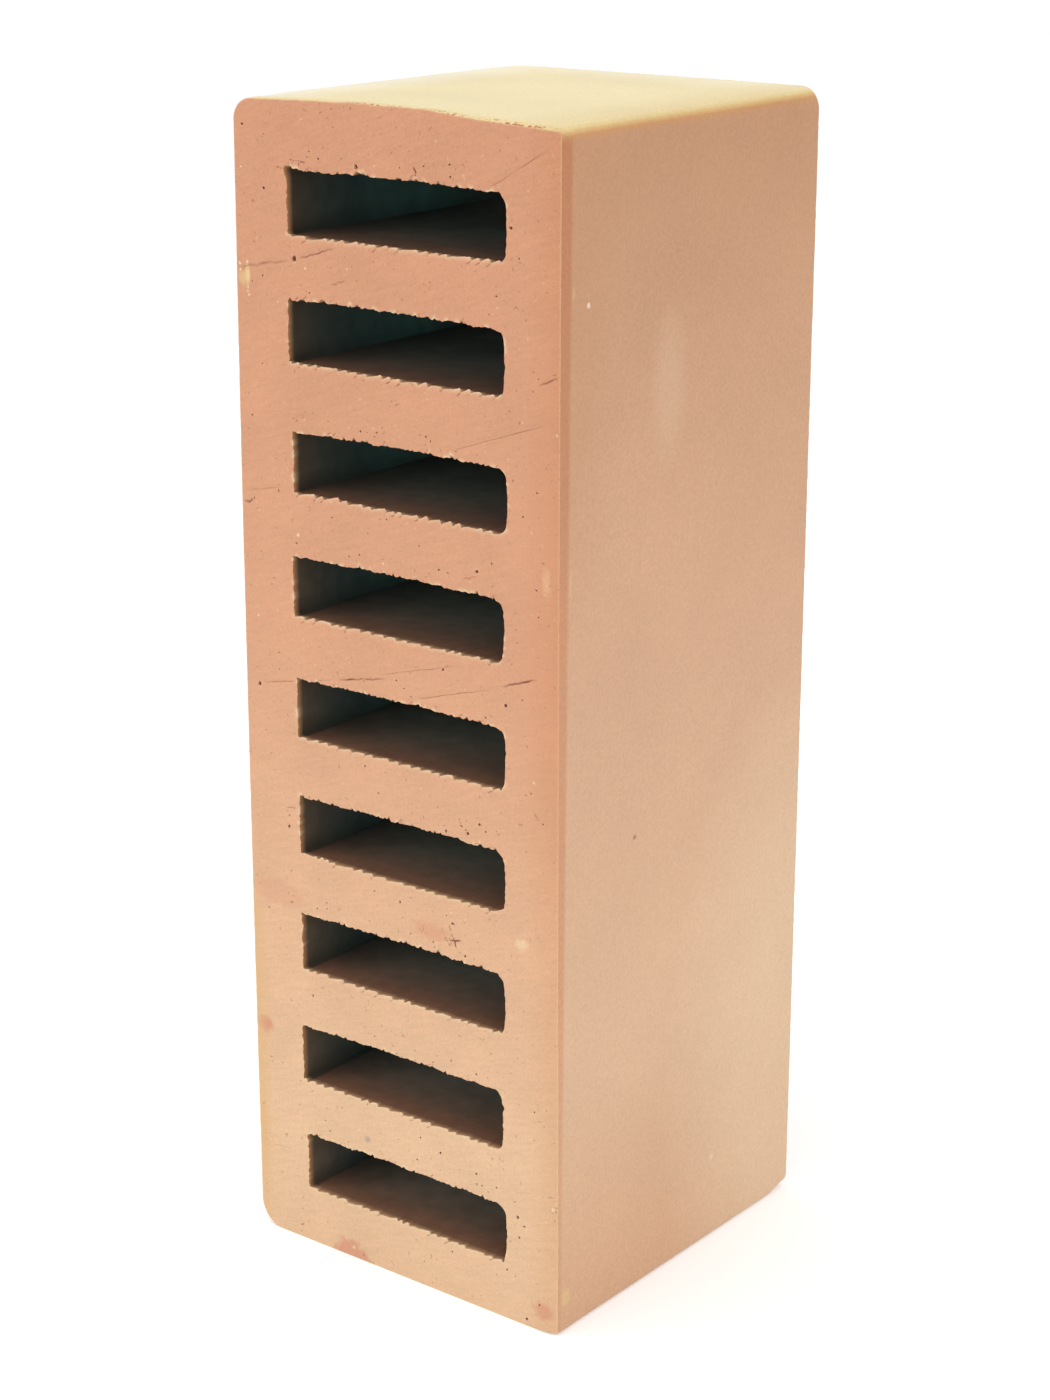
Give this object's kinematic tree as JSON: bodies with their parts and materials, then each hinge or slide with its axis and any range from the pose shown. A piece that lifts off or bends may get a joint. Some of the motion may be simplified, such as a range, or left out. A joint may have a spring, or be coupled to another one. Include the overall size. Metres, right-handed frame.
{
  "type": "perforated clay brick",
  "caption": "Long fired clay building brick with a row of rectangular slots running through it from bed face to bed face.",
  "frame": {"origin": "middle of the lower header face, on the floor that the brick stands on", "axes": "+Z along the brick's length, +X across the bed face towards the rounder-slotted stretcher, +Y from the crowned bed to the straight bed, the way the slots run"},
  "size_m": [0.0836, 0.0876, 0.2512],
  "materials": {
    "fired_clay": "raw fired clay, matt and sandy, pinkish orange on the cut beds and tan to pale yellow on the outer skin"
  },
  "bodies": {
    "root": {"brick": "fired_clay"}
  },
  "joints": []
}
